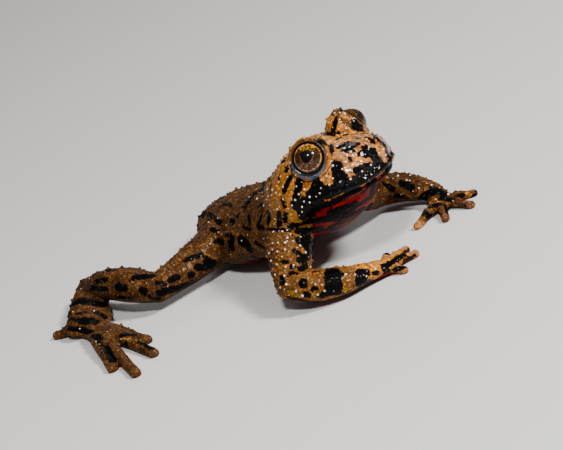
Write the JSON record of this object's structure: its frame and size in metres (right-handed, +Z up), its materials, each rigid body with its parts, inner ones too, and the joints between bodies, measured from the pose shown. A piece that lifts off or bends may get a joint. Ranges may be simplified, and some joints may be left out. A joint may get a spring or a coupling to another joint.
{
  "type": "fire bellied toad",
  "caption": "Life-size still fire bellied toad with its head raised, hands forward and webbed hind feet spread, resting on its belly, hands and feet.",
  "frame": {"origin": "on the floor under the middle of the toad's box", "axes": "+Z up, -Y is where the body points, +X is the toad's left"},
  "size_m": [0.0648, 0.0514, 0.0202],
  "materials": {
    "back_skin": "wet warty skin, golden brown with black blotches and pearly warts",
    "limb_skin": "wet warty skin, brown with black bars and orange finger and toe tips",
    "throat_skin": "wet smooth skin, deep red with black blotches",
    "eye": "clear wet cornea over a gold and copper iris with a black pupil"
  },
  "bodies": {
    "root": {"head": "back_skin", "lower_jaw": "throat_skin", "torso": "back_skin", "right_eye": "eye", "left_eye": "eye", "right_upper_arm": "limb_skin", "right_forearm": "limb_skin", "right_hand": "limb_skin", "right_thigh": "limb_skin", "right_shank": "limb_skin", "right_foot": "limb_skin", "left_upper_arm": "limb_skin", "left_forearm": "limb_skin", "left_hand": "limb_skin", "left_thigh": "limb_skin", "left_shank": "limb_skin", "left_foot": "limb_skin"}
  },
  "joints": []
}
